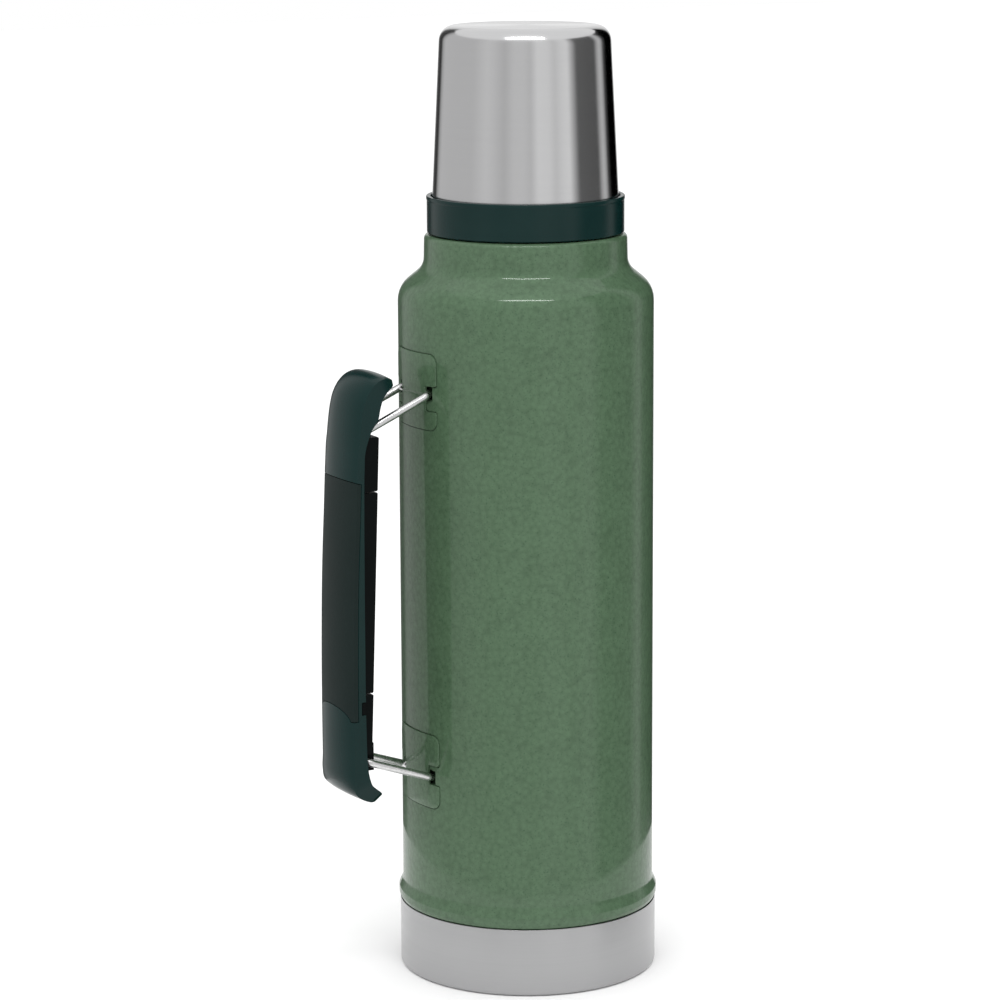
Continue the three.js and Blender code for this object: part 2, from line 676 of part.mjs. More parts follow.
const handle = new THREE.Group();
handle.add(
  mesh('upper_bail', bail(UPPER_PIVOT, UPPER_GRIP_BAR), wireSteel),
  mesh('lower_bail', bail(LOWER_PIVOT, LOWER_GRIP_BAR), wireSteel),
  mesh('grip_shell', gripShell(), darkPlastic),
  mesh('grip_pad', gripPad(), softPlastic),
  mesh('grip_inner_cover', gripInnerCover(), blackPlastic),
  mesh('upper_bail_clip', wireClip({
    lowZ: 202.1, highZ: 223.2, bar: UPPER_GRIP_BAR, tongueEnd: 229, play: 0.5,
  }), blackPlastic),
  mesh('lower_bail_clip', lowerClip(), blackPlastic),
);

const stopper = new THREE.Group();
stopper.add(
  mesh('stopper_body', stopperBody(), darkPlastic),
  mesh('stopper_cap', stopperCap(), darkPlastic),
  mesh('stopper_foam', stopperFoam(), foam),
  mesh('stopper_gasket', stopperGasket(), silicone),
  mesh('stopper_ring', stopperRing(), silicone),
);

const cup = new THREE.Group();
cup.add(
  mesh('cup_outer', cupOuter(), brushedSteel),
  mesh('cup_inner', cupInner(), innerSteel),
  mesh('cup_collar', cupCollar(), darkPlastic),
  mesh('cup_seal', cupSeal(), silicone),
);

const flask = new THREE.Group();
flask.add(body, handle, stopper, cup);

export default flask;
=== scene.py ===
"""Looks of the vacuum flask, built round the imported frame. Metres, +Z up, handle on the -X side."""

import json
import math

import bmesh
import bpy
import numpy as np
from mathutils import Matrix, Vector


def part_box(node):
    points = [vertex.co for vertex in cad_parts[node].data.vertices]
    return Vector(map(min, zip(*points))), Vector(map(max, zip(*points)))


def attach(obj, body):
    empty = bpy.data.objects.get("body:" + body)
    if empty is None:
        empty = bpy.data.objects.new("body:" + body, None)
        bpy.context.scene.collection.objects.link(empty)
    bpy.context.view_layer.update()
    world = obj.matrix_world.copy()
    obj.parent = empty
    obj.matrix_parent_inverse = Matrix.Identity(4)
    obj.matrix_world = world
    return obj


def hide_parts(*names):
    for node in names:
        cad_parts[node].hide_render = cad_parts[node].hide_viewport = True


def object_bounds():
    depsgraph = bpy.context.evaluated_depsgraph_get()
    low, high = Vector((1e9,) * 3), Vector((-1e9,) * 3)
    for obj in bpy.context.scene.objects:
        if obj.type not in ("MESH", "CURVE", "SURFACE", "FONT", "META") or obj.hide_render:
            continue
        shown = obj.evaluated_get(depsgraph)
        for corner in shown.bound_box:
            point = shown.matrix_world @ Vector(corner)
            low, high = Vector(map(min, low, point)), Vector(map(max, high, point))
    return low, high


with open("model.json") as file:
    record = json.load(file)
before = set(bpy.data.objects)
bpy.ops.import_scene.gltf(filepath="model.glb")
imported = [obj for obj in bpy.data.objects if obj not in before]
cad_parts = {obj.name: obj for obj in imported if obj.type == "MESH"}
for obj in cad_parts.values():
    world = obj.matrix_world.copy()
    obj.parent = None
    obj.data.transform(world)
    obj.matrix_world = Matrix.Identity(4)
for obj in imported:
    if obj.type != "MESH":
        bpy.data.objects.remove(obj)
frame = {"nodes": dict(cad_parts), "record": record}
cad_low, cad_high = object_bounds()

MM = 0.001
TURN_SIDES = 160


# ---------- places taken from the frame ----------
def top_of(node):
    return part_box(node)[1].z


def bottom_of(node):
    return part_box(node)[0].z


def radius_of(node):
    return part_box(node)[1].x


def joint(name):
    return next(item for item in frame["record"]["behaviour"]["joints"] if item["name"] == name)


# ---------- camera, lights and floor ----------
CAMERA_AZIMUTH = -28.1               # 0 looks along +Y, and the angle grows as the camera goes to the right
CAMERA_TILT = 10.909                 # how far it looks down
CAMERA_ROLL = -0.264
CAMERA_PLACE = (-0.6709, -1.2341, 0.4603)
CAMERA_LENS = 129.3                  # on a sensor 36 mm wide


def make_camera():
    data = bpy.data.cameras.new("camera")
    data.sensor_width = 36
    data.lens = CAMERA_LENS
    data.clip_end = 20
    camera = bpy.data.objects.new("camera", data)
    camera.location = CAMERA_PLACE
    camera.rotation_mode = "XYZ"
    turn = Matrix.Rotation(math.radians(CAMERA_AZIMUTH), 3, "Z")
    tilt = Matrix.Rotation(math.radians(90 - CAMERA_TILT), 3, "X")
    roll = Matrix.Rotation(math.radians(CAMERA_ROLL), 3, "Z")
    camera.rotation_euler = (turn @ tilt @ roll).to_euler()
    bpy.context.scene.collection.objects.link(camera)
    bpy.context.scene.camera = camera


def softbox(name, azimuth, elevation, distance, width, height, power):
    """An area light that faces the flask. Azimuth 0 is on the -Y side."""
    data = bpy.data.lights.new(name, "AREA")
    data.shape = "RECTANGLE"
    data.size = width
    data.size_y = height
    data.energy = power
    light = bpy.data.objects.new(name, data)
    a = math.radians(azimuth)
    e = math.radians(elevation)
    middle = Vector((0, 0, (cad_low.z + cad_high.z) / 2))
    towards = Vector((math.sin(a) * math.cos(e), -math.cos(a) * math.cos(e), math.sin(e)))
    light.location = middle + towards * distance
    light.rotation_euler = towards.to_track_quat("Z", "Y").to_euler()
    bpy.context.scene.collection.objects.link(light)


def sky_light(strength):
    """A very soft light straight from above, the same all over the floor, which reflections don't show."""
    data = bpy.data.lights.new("overhead", "SUN")
    data.energy = strength
    data.angle = math.radians(120)
    light = bpy.data.objects.new("overhead", data)
    light.visible_glossy = False
    bpy.context.scene.collection.objects.link(light)


CARD_DISTANCE = 0.21
CARD_HEIGHT = 0.50                   # low enough for the strip light to be seen over the cards
CARD_SIDES = 96
# The reflector cards that stand round the flask: how bright they are at each angle from the camera's
# side, counted to the right.
CARD_BANDS = [
    (-180, 0.92), (-160, 0.86), (-154, 0.10), (-138, 0.03), (-131, 0.45), (-123, 0.66), (-66, 0.66),
    (-47, 0.78), (-39, 0.74), (-25, 0.62), (-14, 0.74), (-3, 0.75), (6, 0.68), (14, 0.90), (27, 0.88),
    (35, 0.76), (44, 0.88), (52, 0.94), (57, 0.62), (65, 0.15), (96, 0.12), (102, 0.50), (107, 0.66),
    (112, 0.50), (117, 0.08), (124, 0.00), (150, 0.00), (157, 0.80), (180, 0.92),
]
WORLD_GLOW = 0.8                     # what lights the flask from all round


def math_node(nodes, links, operation, first, second=None):
    node = nodes.new("ShaderNodeMath")
    node.operation = operation
    for socket, value in zip(node.inputs, (first, second)):
        if value is None:
            continue
        if isinstance(value, (int, float)):
            socket.default_value = value
        else:
            links.new(value, socket)
    return node.outputs["Value"]


def make_world():
    """A white surround for the camera and in reflections, and an even soft glow for everything else."""
    world = bpy.data.worlds.new("studio")
    bpy.context.scene.world = world
    world.use_nodes = True
    nodes, links = world.node_tree.nodes, world.node_tree.links
    nodes.clear()
    room = nodes.new("ShaderNodeBackground")
    room.inputs["Color"].default_value = (WORLD_GLOW, WORLD_GLOW, WORLD_GLOW, 1)
    paper = nodes.new("ShaderNodeBackground")
    paper.inputs["Color"].default_value = (1, 1, 1, 1)
    path = nodes.new("ShaderNodeLightPath")
    mix = nodes.new("ShaderNodeMixShader")
    seen = math_node(nodes, links, "MAXIMUM", path.outputs["Is Camera Ray"], path.outputs["Is Glossy Ray"])
    links.new(seen, mix.inputs["Fac"])
    links.new(room.outputs["Background"], mix.inputs[1])
    links.new(paper.outputs["Background"], mix.inputs[2])
    out = nodes.new("ShaderNodeOutputWorld")
    links.new(mix.outputs["Shader"], out.inputs["Surface"])


def make_cards():
    """A ring of light and dark cards that only shows in reflections."""
    material = bpy.data.materials.new("reflector_cards")
    material.use_nodes = True
    nodes, links = material.node_tree.nodes, material.node_tree.links
    nodes.clear()
    parts = nodes.new("ShaderNodeSeparateXYZ")
    links.new(nodes.new("ShaderNodeTexCoord").outputs["Object"], parts.inputs["Vector"])
    azimuth = math_node(nodes, links, "ARCTAN2", parts.outputs["X"], parts.outputs["Y"])
    share = math_node(nodes, links, "MULTIPLY", azimuth, 1 / (2 * math.pi))
    share = math_node(nodes, links, "ADD", share, 0.5)
    stops = [((angle + 180) / 360, level) for angle, level in CARD_BANDS]
    glow = nodes.new("ShaderNodeEmission")
    links.new(ramp(nodes, links, share, stops), glow.inputs["Color"])
    out = nodes.new("ShaderNodeOutputMaterial")
    links.new(glow.outputs["Emission"], out.inputs["Surface"])
    vertices = []
    for height in (MM, CARD_HEIGHT):
        for step in range(CARD_SIDES):
            angle = 2 * math.pi * step / CARD_SIDES
            vertices.append((CARD_DISTANCE * math.sin(angle), CARD_DISTANCE * math.cos(angle), height))
    faces = side_faces(CARD_SIDES)
    mesh = bpy.data.meshes.new("cards")
    mesh.from_pydata(vertices, [], faces)
    mesh.materials.append(material)
    cards = bpy.data.objects.new("cards", mesh)
    bpy.context.scene.collection.objects.link(cards)
    # The cards' own +Y points at the camera, and their +X to its right.
    cards.scale = (1, -1, 1)
    cards.rotation_euler = (0, 0, math.radians(CAMERA_AZIMUTH))
    cards.visible_camera = False
    cards.visible_diffuse = False
    cards.visible_shadow = False
    cards.visible_transmission = False


FLOOR_REACH = 6.0


def make_stage():
    mesh = bpy.data.meshes.new("floor")
    reach = FLOOR_REACH
    corners = [(-reach, -reach, 0), (reach, -reach, 0), (reach, reach, 0), (-reach, reach, 0)]
    mesh.from_pydata(corners, [], [(0, 1, 2, 3)])
    floor = bpy.data.objects.new("floor", mesh)
    bpy.context.scene.collection.objects.link(floor)
    material, _, _, shader = new_material("floor_paper")
    shader.inputs["Base Color"].default_value = (0.86, 0.86, 0.86, 1)
    shader.inputs["Roughness"].default_value = 0.9
    floor.data.materials.append(material)


# ---------- materials ----------
def new_material(name):
    material = bpy.data.materials.new(name)
    material.use_nodes = True
    nodes = material.node_tree.nodes
    return material, nodes, material.node_tree.links, nodes["Principled BSDF"]


def place(nodes, links, scale):
    """The piece's own coordinates, in metres, times a scale for each axis."""
    coordinates = nodes.new("ShaderNodeTexCoord")
    mapping = nodes.new("ShaderNodeMapping")
    mapping.inputs["Scale"].default_value = scale
    links.new(coordinates.outputs["Object"], mapping.inputs["Vector"])
    return mapping.outputs["Vector"]


def noise(nodes, links, vector, scale, detail=2.0, roughness=0.5):
    node = nodes.new("ShaderNodeTexNoise")
    node.inputs["Scale"].default_value = scale
    node.inputs["Detail"].default_value = detail
    node.inputs["Roughness"].default_value = roughness
    links.new(vector, node.inputs["Vector"])
    return node.outputs["Fac"]


def ramp(nodes, links, factor, stops):
    """A colour ramp through (position, colour) stops; a colour may be one grey number."""
    node = nodes.new("ShaderNodeValToRGB")
    elements = node.color_ramp.elements
    while len(elements) < len(stops):
        elements.new(0.5)
    for element, (position, colour) in zip(elements, stops):
        element.position = position
        grey = isinstance(colour, (int, float))
        element.color = (colour, colour, colour, 1) if grey else (*colour, 1)
    links.new(factor, node.inputs["Fac"])
    return node.outputs["Color"]


def blend_colours(nodes, links, factor, first, second, mode="MIX"):
    node = nodes.new("ShaderNodeMix")
    node.data_type = "RGBA"
    node.blend_type = mode
    inputs = [socket for socket in node.inputs if socket.type == "RGBA"]
    for socket, value in zip(inputs, (first, second)):
        if isinstance(value, tuple):
            socket.default_value = (*value, 1)
        else:
            links.new(value, socket)
    if isinstance(factor, (int, float)):
        node.inputs["Factor"].default_value = factor
    else:
        links.new(factor, node.inputs["Factor"])
    return next(socket for socket in node.outputs if socket.type == "RGBA")


def bump(nodes, links, height, strength, distance):
    node = nodes.new("ShaderNodeBump")
    node.inputs["Strength"].default_value = strength
    node.inputs["Distance"].default_value = distance
    links.new(height, node.inputs["Height"])
    return node.outputs["Normal"]


CELL_SCALE = 520                     # dimples to a metre
CLOUD_SCALE = 60
FLECK_SCALE = 1500
PAINT_TONES = [                      # from a dimple's middle to its rim
    (0.05, (0.083, 0.149, 0.083)),
    (0.45, (0.075, 0.134, 0.075)),
    (0.85, (0.062, 0.113, 0.062)),
]
FLECK_COLOUR = (0.031, 0.066, 0.035)


def hammered_paint():
    """Green hammered enamel: small dimpled cells with a metallic glint and fine dark flecks."""
    material, nodes, links, shader = new_material("hammered_paint")
    where = place(nodes, links, (1, 1, 1))
    cells = nodes.new("ShaderNodeTexVoronoi")
    cells.feature = "SMOOTH_F1"
    cells.inputs["Scale"].default_value = CELL_SCALE
    cells.inputs["Smoothness"].default_value = 0.6
    links.new(where, cells.inputs["Vector"])
    tone = ramp(nodes, links, cells.outputs["Distance"], PAINT_TONES)
    cloud = noise(nodes, links, where, CLOUD_SCALE, 3)
    cloud_tone = ramp(nodes, links, cloud, [(0.3, 0.93), (0.7, 1.0)])
    tone = blend_colours(nodes, links, 1.0, tone, cloud_tone, "MULTIPLY")
    fleck = noise(nodes, links, where, FLECK_SCALE, 2, 0.6)
    fleck_mask = ramp(nodes, links, fleck, [(0.56, 0.0), (0.74, 0.8)])
    tone = blend_colours(nodes, links, fleck_mask, tone, FLECK_COLOUR)
    links.new(tone, shader.inputs["Base Color"])
    rough = ramp(nodes, links, cloud, [(0.3, 0.36), (0.7, 0.46)])
    links.new(rough, shader.inputs["Roughness"])
    shader.inputs["Metallic"].default_value = 0.12
    shader.inputs["Specular IOR Level"].default_value = 0.08
    shader.inputs["Coat Weight"].default_value = 0.6
    shader.inputs["Coat Roughness"].default_value = 0.06
    links.new(bump(nodes, links, cells.outputs["Distance"], 0.22, 0.0004), shader.inputs["Normal"])
    return material


# How often the brushed steel's noise repeats along X, Y and Z, to a metre: much closer along Z.
FINE_RINGS = (9, 9, 2600)
BROAD_RINGS = (14, 14, 260)


def turned_steel(name, colour, roughness, depth, anisotropy):
    """Stainless steel brushed round the axis: fine rings that vary slowly along each ring."""
    material, nodes, links, shader = new_material(name)
    rings = noise(nodes, links, place(nodes, links, FINE_RINGS), 1.0, 4, 0.6)
    broad = noise(nodes, links, place(nodes, links, BROAD_RINGS), 1.0, 2)
    dark = tuple(0.94 * part for part in colour)
    tone = blend_colours(nodes, links, rings, dark, colour)
    links.new(tone, shader.inputs["Base Color"])
    stops = [(0.3, roughness - 0.02), (0.7, roughness + 0.02)]
    links.new(ramp(nodes, links, broad, stops), shader.inputs["Roughness"])
    shader.inputs["Metallic"].default_value = 1.0
    shader.inputs["Anisotropic"].default_value = anisotropy
    shader.inputs["Anisotropic Rotation"].default_value = 0.25
    tangent = nodes.new("ShaderNodeTangent")
    tangent.direction_type = "RADIAL"
    tangent.axis = "Z"
    links.new(tangent.outputs["Tangent"], shader.inputs["Tangent"])
    links.new(bump(nodes, links, rings, depth, 0.00005), shader.inputs["Normal"])
    return material


def moulded_plastic(name, colour, roughness, grain, grain_size, gloss):
    """Moulded plastic with a fine spark-eroded grain and a slow change of gloss."""
    material, nodes, links, shader = new_material(name)
    where = place(nodes, links, (1, 1, 1))
    fine = noise(nodes, links, where, 1 / grain_size, 3, 0.6)
    slow = noise(nodes, links, where, 45, 3)
    light = tuple(min(1.0, 1.35 * part + 0.002) for part in colour)
    links.new(blend_colours(nodes, links, slow, colour, light), shader.inputs["Base Color"])
    stops = [(0.3, roughness - 0.04), (0.7, roughness + 0.04)]
    links.new(ramp(nodes, links, slow, stops), shader.inputs["Roughness"])
    shader.inputs["Specular IOR Level"].default_value = gloss
    links.new(bump(nodes, links, fine, grain, 0.0002), shader.inputs["Normal"])
    return material


def wire_steel():
    """Drawn stainless wire: bright, with faint streaks."""
    material, nodes, links, shader = new_material("wire_steel")
    streak = noise(nodes, links, place(nodes, links, (1, 1, 1)), 700, 3)
    links.new(ramp(nodes, links, streak, [(0.3, 0.62), (0.7, 0.72)]), shader.inputs["Base Color"])
    links.new(ramp(nodes, links, streak, [(0.3, 0.2), (0.7, 0.28)]), shader.inputs["Roughness"])
    shader.inputs["Metallic"].default_value = 1.0
    links.new(bump(nodes, links, streak, 0.03, 0.0001), shader.inputs["Normal"])
    return material


def silicone():
    material, nodes, links, shader = new_material("silicone")
    where = place(nodes, links, (1, 1, 1))
    slow = noise(nodes, links, where, 120, 3)
    links.new(ramp(nodes, links, slow, [(0.3, 0.24), (0.7, 0.31)]), shader.inputs["Base Color"])
    shader.inputs["Roughness"].default_value = 0.62
    shader.inputs["Subsurface Weight"].default_value = 0.1
    links.new(bump(nodes, links, slow, 0.15, 0.0002), shader.inputs["Normal"])
    return material


def crinkled_foil():
    material, nodes, links, shader = new_material("foil")
    where = place(nodes, links, (1, 1, 1))
    crinkle = noise(nodes, links, where, 160, 5, 0.7)
    links.new(ramp(nodes, links, crinkle, [(0.3, 0.66), (0.7, 0.8)]), shader.inputs["Base Color"])
    shader.inputs["Metallic"].default_value = 1.0
    shader.inputs["Roughness"].default_value = 0.22
    links.new(bump(nodes, links, crinkle, 0.5, 0.001), shader.inputs["Normal"])
    return material


def rigid_foam():
    material, nodes, links, shader = new_material("foam")
    where = place(nodes, links, (1, 1, 1))
    pores = noise(nodes, links, where, 1500, 3, 0.7)
    tone = ramp(nodes, links, pores, [(0.35, (0.55, 0.5, 0.38)), (0.6, (0.78, 0.73, 0.58))])
    links.new(tone, shader.inputs["Base Color"])
    shader.inputs["Roughness"].default_value = 0.95
    links.new(bump(nodes, links, pores, 0.5, 0.0005), shader.inputs["Normal"])
    return material


# ---------- mesh helpers ----------
SHADED_ANGLE = 35                    # edges less steep than this are shaded smooth
SHARP_CORNER = 50                    # outer edges steeper than this are rounded by soften()


def add_piece(name, mesh, material, body, slot, *nodes):
    """Puts a mesh in the scene for the CAD nodes that it stands for."""
    piece = bpy.data.objects.new(name, mesh)
    bpy.context.scene.collection.objects.link(piece)
    mesh.materials.clear()
    mesh.materials.append(material)
    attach(piece, body)
    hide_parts(*nodes)


def soften(mesh, width):
    """Rounds a mesh's sharp outer edges by a width in millimetres."""
    work = bmesh.new()
    work.from_mesh(mesh)
    bmesh.ops.remove_doubles(work, verts=work.verts, dist=1e-6)
    edges = [
        edge for edge in work.edges
        if len(edge.link_faces) == 2 and edge.calc_face_angle_signed() > math.radians(SHARP_CORNER)
    ]
    bmesh.ops.bevel(
        work, geom=edges, offset=width * MM, segments=3, profile=0.5, affect="EDGES", clamp_overlap=True,
    )
    work.to_mesh(mesh)
    work.free()
    smooth(mesh)


def smooth(mesh, angle=SHADED_ANGLE):
    for polygon in mesh.polygons:
        polygon.use_smooth = True
    mesh.set_sharp_from_angle(angle=math.radians(angle))


def mesh_from(name, vertices, faces, angle=SHADED_ANGLE):
    mesh = bpy.data.meshes.new(name)
    mesh.from_pydata([tuple(vertex) for vertex in vertices], [], faces)
    mesh.validate()
    work = bmesh.new()
    work.from_mesh(mesh)
    bmesh.ops.remove_doubles(work, verts=work.verts, dist=1e-7)
    bmesh.ops.recalc_face_normals(work, faces=work.faces)
    work.to_mesh(mesh)
    work.free()
    smooth(mesh, angle)
    return mesh


def side_faces(count):
    """Faces between two rows of points, one after the other, that each go round once."""
    return [(i, (i + 1) % count, count + (i + 1) % count, count + i) for i in range(count)]


def prism(name, first, second):
    """The solid between two matching outlines, given as lists of 3-D points in metres."""
    count = len(first)
    ends = [tuple(range(count))[::-1], tuple(range(count, 2 * count))]
    return mesh_from(name, first + second, side_faces(count) + ends)


def rounded(corners, closed=True):
    """An outline from [x, y, rounding] corners, in the units given, each corner rounded by an arc."""
    points = []
    count = len(corners)
    for index, (x, y, radius) in enumerate(corners):
        here = np.array([x, y], float)
        at_end = not closed and index in (0, count - 1)
        if radius <= 0 or at_end:
            points.append(here)
            continue
        before = np.array(corners[index - 1][:2], float)
        after = np.array(corners[(index + 1) % count][:2], float)
        to_before = before - here
        to_after = after - here
        room_before = np.linalg.norm(to_before)
        room_after = np.linalg.norm(to_after)
        to_before /= room_before
        to_after /= room_after
        cosine = float(np.clip(to_before @ to_after, -1, 1))
        half = math.acos(cosine) / 2
        if half > math.radians(89.5):
            points.append(here)
            continue
        reach = min(radius / math.tan(half), 0.49 * room_before, 0.49 * room_after)
        radius = reach * math.tan(half)
        bisector = to_before + to_after
        bisector /= np.linalg.norm(bisector)
        centre = here + bisector * radius / math.sin(half)
        start = here + to_before * reach - centre
        turn = math.pi - 2 * half
        side = -np.sign(to_before[0] * to_after[1] - to_before[1] * to_after[0])
        steps = max(3, int(turn / math.radians(9)))
        for step in range(steps + 1):
            angle = side * turn * step / steps
            c, s = math.cos(angle), math.sin(angle)
            points.append(centre + np.array([c * start[0] - s * start[1], s * start[0] + c * start[1]]))
    return points


def across(name, corners, half):
    """A prism along Y from [distance from the axis, height, rounding] corners in millimetres."""
    outline = rounded(corners)
    near = [(-u * MM, half * MM, z * MM) for u, z in outline]
    far = [(-u * MM, -half * MM, z * MM) for u, z in outline]
    return prism(name, near, far)


def through(name, outline, first, second):
    """A prism along X, between two distances from the axis, from (side, height) points in millimetres."""
    near, far = ([(-u * MM, side * MM, z * MM) for side, z in outline] for u in (first, second))
    return prism(name, near, far)


def turned_faces(sides, outline):
    """Faces between the copies of a closed outline round the axis, left out where it runs along the axis."""
    faces = []
    count = len(outline)
    for side in range(sides):
        following = (side + 1) % sides
        for index in range(count):
            after = (index + 1) % count
            if outline[index][0] < 1e-6 and outline[after][0] < 1e-6:
                continue
            faces.append((
                side * count + index,
                following * count + index,
                following * count + after,
                side * count + after,
            ))
    return faces


def turned(name, corners, sides=TURN_SIDES):
    """Turns a closed outline of [radius, z, rounding] corners in millimetres about Z."""
    outline = rounded(corners)
    vertices = []
    for side in range(sides):
        a = 2 * math.pi * side / sides
        for radius, z in outline:
            vertices.append((radius * MM * math.cos(a), radius * MM * math.sin(a), z * MM))
    return mesh_from(name, vertices, turned_faces(sides, outline))


def swept(name, path, radius, sides):
    """A round rod along a path of points in metres, with a flat face at each end."""
    points = [Vector(point) for point in path]
    count = len(points)
    vertices = []
    faces = []
    tangent = (points[1] - points[0]).normalized()
    normal = tangent.orthogonal().normalized()
    for index, point in enumerate(points):
        ahead = points[min(index + 1, count - 1)]
        behind = points[max(index - 1, 0)]
        following = (ahead - behind).normalized()
        normal = tangent.rotation_difference(following) @ normal
        normal = (normal - following * normal.dot(following)).normalized()
        tangent = following
        other = tangent.cross(normal)
        for side in range(sides):
            a = 2 * math.pi * side / sides
            vertices.append(point + (normal * math.cos(a) + other * math.sin(a)) * radius)
    for index in range(count - 1):
        for side in range(sides):
            a = index * sides + side
            b = index * sides + (side + 1) % sides
            faces.append((a, b, b + sides, a + sides))
    faces.append(tuple(range(sides))[::-1])
    faces.append(tuple((count - 1) * sides + side for side in range(sides)))
    return mesh_from(name, vertices, faces, 50)


THREAD_TURNS = 1.5
THREAD_STEPS = 108


def thread(buried, proud, low, high, ridge):
    """A thread's ridge between two heights, in millimetres. It sinks into its wall at both ends."""
    points = []
    for step in range(THREAD_STEPS + 1):
        share = step / THREAD_STEPS
        angle = 2 * math.pi * THREAD_TURNS * share
        z = low + (high - low) * share
        fade = min(1.0, share * 12, (1 - share) * 12)
        radius = buried + (proud - buried) * fade
        points.append((radius * MM * math.cos(angle), radius * MM * math.sin(angle), z * MM))
    return swept("ridge", points, ridge * MM, 12)


def joined(name, meshes):
    """One mesh out of several, which may cross each other."""
    work = bmesh.new()
    for mesh in meshes:
        work.from_mesh(mesh)
    result = bpy.data.meshes.new(name)
    work.to_mesh(result)
    work.free()
    smooth(result)
    return result


def cut(mesh, cutters, operation="DIFFERENCE"):
    """The mesh after exact booleans with each cutter in turn."""
    target = bpy.data.objects.new("cutting", mesh)
    bpy.context.scene.collection.objects.link(target)
    tools = []
    for cutter in cutters:
        tool = bpy.data.objects.new("cutter", cutter)
        bpy.context.scene.collection.objects.link(tool)
        modifier = target.modifiers.new("cut", "BOOLEAN")
        modifier.operation = operation
        modifier.solver = "EXACT"
        modifier.object = tool
        tools.append(tool)
    bpy.context.view_layer.update()
    shown = target.evaluated_get(bpy.context.evaluated_depsgraph_get())
    result = bpy.data.meshes.new_from_object(shown)
    for item in [target, *tools]:
        bpy.data.objects.remove(item)
    smooth(result)
    return result


# ---------- the body ----------
BODY_RADIUS = 50.5
SKIRT_RADIUS = 50.4                  # the shell's lower end, inside the base
BEAD_RADIUS = 52.1
COLLAR_SEAT_RADIUS = 39.95
SHELL_WALL = 0.8
VESSEL_WALL = 0.7
BASE_WALL = 0.8
NECK_RADIUS = 31.4
BORE_RADIUS = 26.3
WIRE_RADIUS = 1.5
BAIL_HALF_WIDTH = 11.8
INSIDE_SIDES = 96                    # sides of the turned pieces that the cup or the shell hides
# How far the legs swing below and above their pivot, at the shell's surface.
UPPER_SWING = (6.8, 2.6)
LOWER_SWING = (2.4, 5.0)
PLATE_SUNK = 0.5                     # how deep a bracket plate lies in the shell
PLATE_PROUD = 0.25
PLATE_STEP = 0.35                    # how much more its upper part stands out, over the bar


def shell_profile(inset):
    """The shell from the skirt inside the base to the top of its neck, moved inwards by inset."""
    r = -inset
    neck_top = top_of("outer_shell") / MM
    base_top = top_of("base_cup") / MM
    # Close rings along the straight part keep the shading even round the pockets.
    rings = [(BODY_RADIUS + r, z, 0) for z in range(60, 262, 4)]
    return [
        (SKIRT_RADIUS + r, bottom_of("outer_shell") / MM, 0),
        (SKIRT_RADIUS + r, base_top + 0.35, 0.2),
        (BEAD_RADIUS - 0.6 + r, base_top + 0.45, 0.3),
        (BEAD_RADIUS + r, base_top + 2.0, 1.2),
        (BEAD_RADIUS + r, base_top + 4.6, 1.6),
        (BODY_RADIUS + r, base_top + 8.0, 4.0),
        *rings,
        (BODY_RADIUS + r, 275.5 - inset * 0.4, 11.0 + r),
        (COLLAR_SEAT_RADIUS + 0.3 + r, 283.8 - inset * 0.4, 7.0),
        (COLLAR_SEAT_RADIUS + r, 296.5 - inset, 2.0),
        (35.2 + r, 296.6 - inset, 1.0),
        (NECK_RADIUS + r, 297.4 - inset, 2.6),
        (NECK_RADIUS + r, neck_top, 0.15),
    ]


def pocket(pivot, swing, grow):
    """The room pressed into the shell for a bail's bar and the swing of its legs, as a prism."""
    down, up = swing
    u, z = -pivot[0] / MM, pivot[2] / MM
    small = 2.1 + grow
    floor = u - 2.0 - grow
    corners = [
        (floor, z - small, 0.8), (u, z - small - 0.6, 0.6), (BODY_RADIUS + 1, z - down - grow, 0),
        (BODY_RADIUS + 1, z + up + grow, 0), (u, z + small + 0.6, 0.6), (floor, z + small, 0.8),
    ]
    return across("pocket", corners, BAIL_HALF_WIDTH + WIRE_RADIUS + 0.35 + grow)


def make_shell(paint):
    outside = shell_profile(0)
    inside = shell_profile(SHELL_WALL)
    pivots = [
        (joint("handle_swing")["pos_m"], UPPER_SWING),
        (joint("lower_bail_swing")["pos_m"], LOWER_SWING),
    ]
    metal = turned("shell_metal", [(0, outside[0][1], 0), *outside, (0, outside[-1][1], 0)])
    beds = [
        plate_recess(node, pivot, swing)
        for node, (pivot, swing) in zip(("upper_bracket", "lower_bracket"), pivots)
    ]
    metal = cut(metal, beds + [pocket(pivot, swing, 0) for pivot, swing in pivots])
    below, above = 8, 325            # past both of the shell's open ends
    line = [
        (0, below, 0), (inside[0][0], below, 0), *inside[1:-1], (inside[-1][0], above, 0), (0, above, 0),
    ]
    cavity = turned("shell_cavity", line)
    cavity = cut(cavity, [pocket(pivot, swing, SHELL_WALL) for pivot, swing in pivots])
    shell = cut(metal, [cavity])
    ridge = thread(NECK_RADIUS - 1.2, NECK_RADIUS + 0.1, 303.5, 315.5, 1.1)
    mesh = joined("shell", [shell, ridge])
    add_piece("painted_shell", mesh, paint, "root", "hammered_paint", "outer_shell")


def make_base(steel):
    """The steel foot: a cup with a shallow ring groove underneath."""
    radius = radius_of("base_cup") / MM
    top = top_of("base_cup") / MM
    inside = radius - BASE_WALL
    floor = 1.3
    groove = 0.5
    mesh = turned("base", [
        (0, 0, 0), (41, 0, 0.2), (41.7, groove, 0.2), (44.4, groove, 0.2), (45.1, 0, 0.2),
        (radius, 0, 1.6), (radius, top, 0.3), (inside, top, 0.2), (inside, floor, 1.0), (0, floor, 0),
    ])
    add_piece("steel_base", mesh, steel, "root", "brushed_steel", "base_cup")


